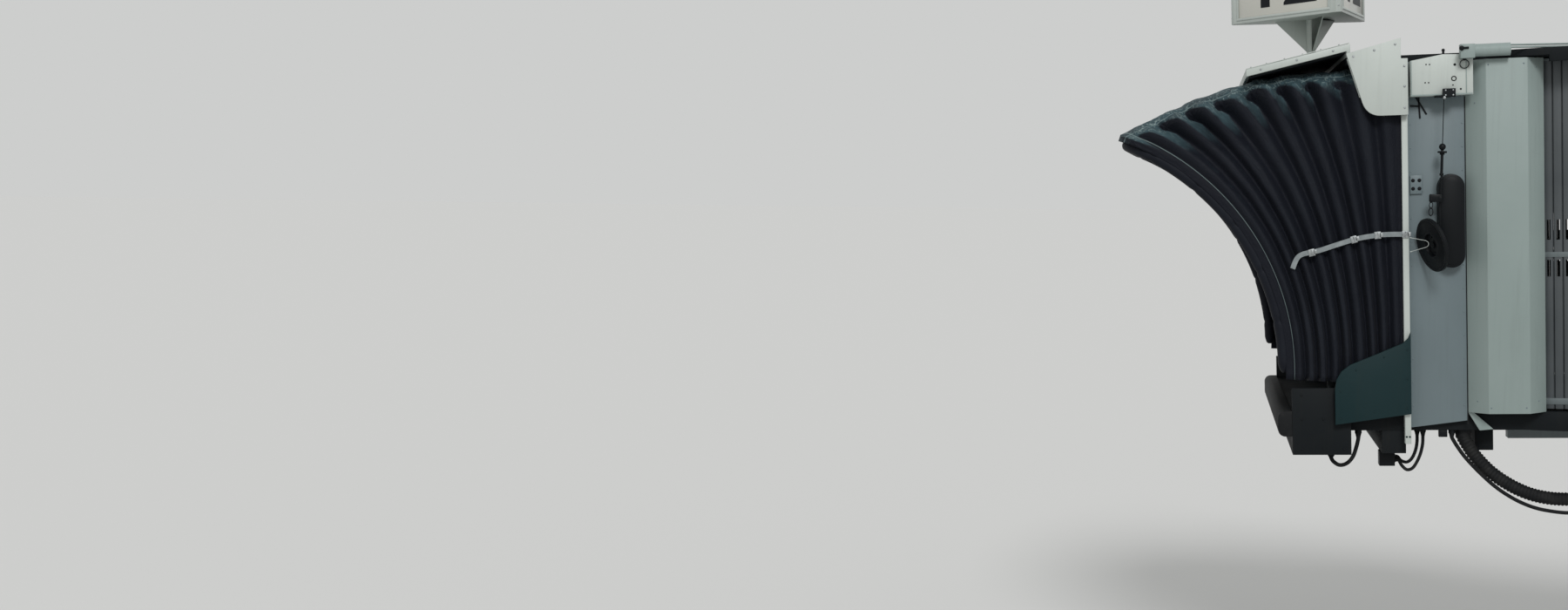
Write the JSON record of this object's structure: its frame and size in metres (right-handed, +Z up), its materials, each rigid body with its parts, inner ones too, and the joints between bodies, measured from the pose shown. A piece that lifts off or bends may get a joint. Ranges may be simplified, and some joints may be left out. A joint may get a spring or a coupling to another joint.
{
  "type": "apron-drive jet bridge",
  "caption": "Passenger boarding bridge with a rotunda, telescoping tunnels, wheeled lift, turning cab and folding canopy.",
  "frame": {"origin": "middle of the rotunda column's base plate, on the ground", "axes": "+X from the terminal towards the aircraft, +Y to the left of a person walking out, +Z up"},
  "size_m": [21.1831, 4.0304, 7.7395],
  "materials": {
    "panel_grey": "satin",
    "trim_white": "satin",
    "steel_grey": "matt",
    "floor_grey": "matt",
    "slat_grey": "satin",
    "underside_black": "matt",
    "guard_green": "matt",
    "bumper_rubber": "matt",
    "tyre_rubber": "matt",
    "canopy_fabric": "matt",
    "strap_silver": "satin",
    "pad_foam": "matt",
    "sign_white": "satin",
    "cable_black": "satin",
    "fitting_black": "satin"
  },
  "bodies": {
    "bridge": {"rotunda_column": "panel_grey", "rotunda_floor": "steel_grey", "rotunda_roof": "panel_grey", "rotunda_curtains": "slat_grey", "terminal_frame": "trim_white", "tunnel_portal": "trim_white", "rotunda_gasket": "bumper_rubber", "tunnel_a_floor": "floor_grey", "tunnel_a_wall_left": "panel_grey", "tunnel_a_wall_right": "panel_grey", "tunnel_a_roof": "panel_grey", "floor_ramp": "floor_grey", "tunnel_b_floor": "floor_grey", "tunnel_b_wall_left": "panel_grey", "tunnel_b_wall_right": "panel_grey", "tunnel_b_roof": "panel_grey", "tunnel_b_rear_frame": "trim_white", "tunnel_slides": "fitting_black", "tunnel_b_front_frame": "trim_white", "slew_support": "steel_grey", "lift_column_left": "panel_grey", "lift_column_right": "panel_grey", "drive_beam": "steel_grey", "wheel_bogie": "steel_grey", "drive_wheels": "tyre_rubber", "bubble_curtain_left": "slat_grey", "bubble_curtain_right": "slat_grey"},
    "cab": {"cab_floor": "underside_black", "cab_wall_left": "panel_grey", "cab_wall_right": "panel_grey", "cab_roof": "underside_black", "fascia_boxes": "panel_grey", "curtain_housings": "panel_grey", "front_frame": "trim_white", "side_shields": "trim_white", "lower_guards": "guard_green", "hood_roof": "trim_white", "front_platform": "underside_black", "bumper": "bumper_rubber", "floor_beams": "underside_black", "gate_sign": "sign_white", "sign_stand": "trim_white", "roof_actuator": "panel_grey", "hoist_bracket": "fitting_black", "hoist_weight": "fitting_black", "reel_housing": "fitting_black", "reel_disc": "fitting_black", "outlet_plate": "panel_grey", "junction_boxes": "fitting_black", "cable_glands": "fitting_black", "service_hose": "cable_black", "service_cable": "cable_black", "front_cable": "cable_black", "loop_cable_long": "cable_black", "loop_cable_short": "cable_black", "canopy_bellows": "canopy_fabric", "canopy_straps": "strap_silver"},
    "canopy": {"canopy_hoop": "steel_grey", "canopy_arms": "steel_grey", "canopy_pads": "pad_foam"}
  },
  "joints": [
    {"name": "cab_rotate", "type": "hinge", "parent": "bridge", "child": "cab", "pos_m": [15.05869, 0, 3.44699], "axis": [0.041, 0, 0.9992], "range_deg": [-32.5, 32.5], "deforming": ["bubble_curtain_left", "bubble_curtain_right"]},
    {"name": "canopy_fold", "type": "hinge", "parent": "cab", "child": "canopy", "pos_m": [17.34154, 0, 3.7136], "axis": [0, 1, 0], "range_deg": [-18, 0], "deforming": ["canopy_bellows", "canopy_straps"]}
  ]
}
